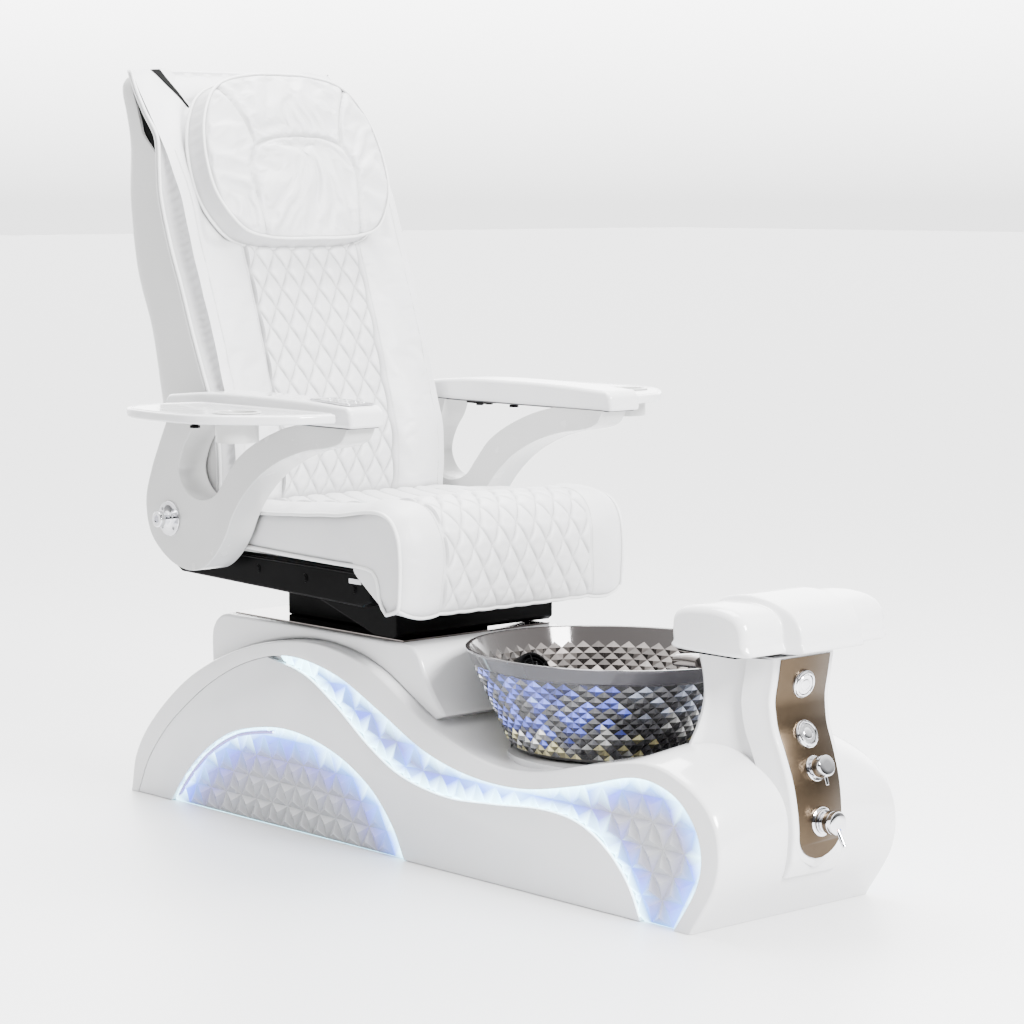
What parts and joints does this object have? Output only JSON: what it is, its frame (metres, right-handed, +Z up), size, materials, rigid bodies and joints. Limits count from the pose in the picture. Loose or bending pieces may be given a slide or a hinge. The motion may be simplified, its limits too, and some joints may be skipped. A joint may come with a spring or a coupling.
{
  "type": "pedicure spa chair",
  "caption": "Pedicure spa chair: white quilted reclining seat with head pillow, lift-up arms and swivel trays, on a curved lit base with smoked foot bowl and control tower.",
  "frame": {"origin": "centre of the bounding box at floor level", "axes": "+Z up; the sitter faces -Y, so the control tower is at -Y, the back at +Y and the sitter's right at -X"},
  "size_m": [1.1124, 1.7014, 1.4161],
  "materials": {
    "white_plastic": "high gloss, moulded",
    "white_leather": "soft polyurethane leather over foam",
    "black_steel": "satin black",
    "black_plastic": "matt, moulded",
    "chrome_trim": "polished",
    "grey_steel": "plain",
    "bronze_plate": "satin, bronze tint",
    "smoked_glass": "smoked, faceted",
    "dark_mirror": "polished, tinted",
    "light_lens": "translucent, faceted",
    "light_board": "light-emitting board",
    "dark_rubber": "matt"
  },
  "bodies": {
    "base": {"base_shell": "white_plastic", "base_pan": "grey_steel", "power_supply": "grey_steel", "seat_plinth": "white_plastic", "plinth_plate": "dark_mirror", "side_panel_right": "white_plastic", "side_panel_left": "white_plastic", "wave_lens_right": "light_lens", "wave_lens_left": "light_lens", "dome_lens_right": "light_lens", "dome_lens_left": "light_lens", "led_panel_right": "light_board", "led_panel_left": "light_board", "tower_shell": "white_plastic", "control_plate": "bronze_plate", "upper_bezel": "chrome_trim", "lower_bezel": "chrome_trim", "diverter_valve": "chrome_trim", "mixer_valve": "chrome_trim", "foot_bowl": "smoked_glass", "drain_strainer": "chrome_trim", "drain_hose": "dark_rubber", "jet_housing": "black_plastic", "fill_spout": "chrome_trim", "lift_column": "black_steel", "slide_rails": "grey_steel", "footrest_bracket": "black_steel"},
    "footrest": {"footrest_slide": "black_steel", "footrest_cap": "white_plastic"},
    "upper_button": {"upper_button": "chrome_trim"},
    "lower_button": {"lower_button": "chrome_trim"},
    "diverter": {"diverter_knob": "chrome_trim"},
    "mixer": {"mixer_handle": "chrome_trim"},
    "impeller": {"jet_impeller": "dark_rubber"},
    "seat": {"seat_frame": "black_steel", "seat_cushion": "white_leather", "pivot_shaft": "grey_steel", "recline_gearmotor": "grey_steel"},
    "back": {"back_frame": "black_steel", "back_shell": "white_plastic", "back_cushion": "white_leather", "head_pillow": "white_leather", "back_top_flap": "white_leather"},
    "massage": {"massage_carriage": "grey_steel"},
    "rollers": {"massage_rollers": "dark_rubber"},
    "arm_right": {"arm_shell_right": "white_plastic", "arm_pad_right": "white_plastic", "arm_hub_right": "chrome_trim", "tray_support_right": "black_steel", "control_pad": "grey_steel"},
    "arm_left": {"arm_shell_left": "white_plastic", "arm_pad_left": "white_plastic", "arm_hub_left": "chrome_trim", "tray_support_left": "black_steel"},
    "tray_right": {"tray_right": "white_plastic", "cup_holder_right": "white_plastic", "tray_plate_right": "black_steel"},
    "tray_left": {"tray_left": "white_plastic", "cup_holder_left": "white_plastic", "tray_plate_left": "black_steel"}
  },
  "joints": [
    {"name": "seat_slide", "type": "slide", "parent": "base", "child": "seat", "axis": [0, 1, 0], "range_m": [-0.06, 0.06]},
    {"name": "back_recline", "type": "hinge", "parent": "seat", "child": "back", "pos_m": [0, 0.5345, 0.576], "axis": [-1, 0, 0], "range_deg": [0, 35]},
    {"name": "massage_travel", "type": "slide", "parent": "back", "child": "massage", "axis": [0, 0.284, 0.9588], "range_m": [-0.22, 0.18]},
    {"name": "massage_roller_spin", "type": "hinge", "parent": "massage", "child": "rollers", "pos_m": [0, 0.65393, 0.93694], "axis": [1, 0, 0], "continuous": true},
    {"name": "arm_right_lift", "type": "hinge", "parent": "seat", "child": "arm_right", "pos_m": [-0.333, 0.5345, 0.576], "axis": [-1, 0, 0], "range_deg": [0, 80]},
    {"name": "arm_left_lift", "type": "hinge", "parent": "seat", "child": "arm_left", "pos_m": [0.333, 0.5345, 0.576], "axis": [-1, 0, 0], "range_deg": [0, 80]},
    {"name": "tray_right_swivel", "type": "hinge", "parent": "arm_right", "child": "tray_right", "pos_m": [-0.385, 0.3795, 0.8], "axis": [0, 0, -1], "range_deg": [0, 70]},
    {"name": "tray_left_swivel", "type": "hinge", "parent": "arm_left", "child": "tray_left", "pos_m": [0.385, 0.3795, 0.8], "axis": [0, 0, 1], "range_deg": [0, 70]},
    {"name": "footrest_shift", "type": "slide", "parent": "base", "child": "footrest", "axis": [0, 1, 0], "range_m": [0, 0.05]},
    {"name": "upper_button_press", "type": "slide", "parent": "base", "child": "upper_button", "axis": [0, 0.981, 0.1942], "range_m": [0, 0.003], "stiffness_N_per_m": 700},
    {"name": "lower_button_press", "type": "slide", "parent": "base", "child": "lower_button", "axis": [0, 0.9202, -0.3915], "range_m": [0, 0.003], "stiffness_N_per_m": 700},
    {"name": "diverter_turn", "type": "hinge", "parent": "base", "child": "diverter", "pos_m": [0, -0.77785, 0.252], "axis": [0, -0.9499, 0.3127], "range_deg": [-90, 90]},
    {"name": "mixer_turn", "type": "hinge", "parent": "base", "child": "mixer", "pos_m": [0, -0.79326, 0.168], "axis": [0, -0.9981, 0.0621], "range_deg": [-60, 60]},
    {"name": "jet_spin", "type": "hinge", "parent": "base", "child": "impeller", "pos_m": [0, -0.08259, 0.315], "axis": [0, -0.9171, 0.3987], "continuous": true}
  ]
}
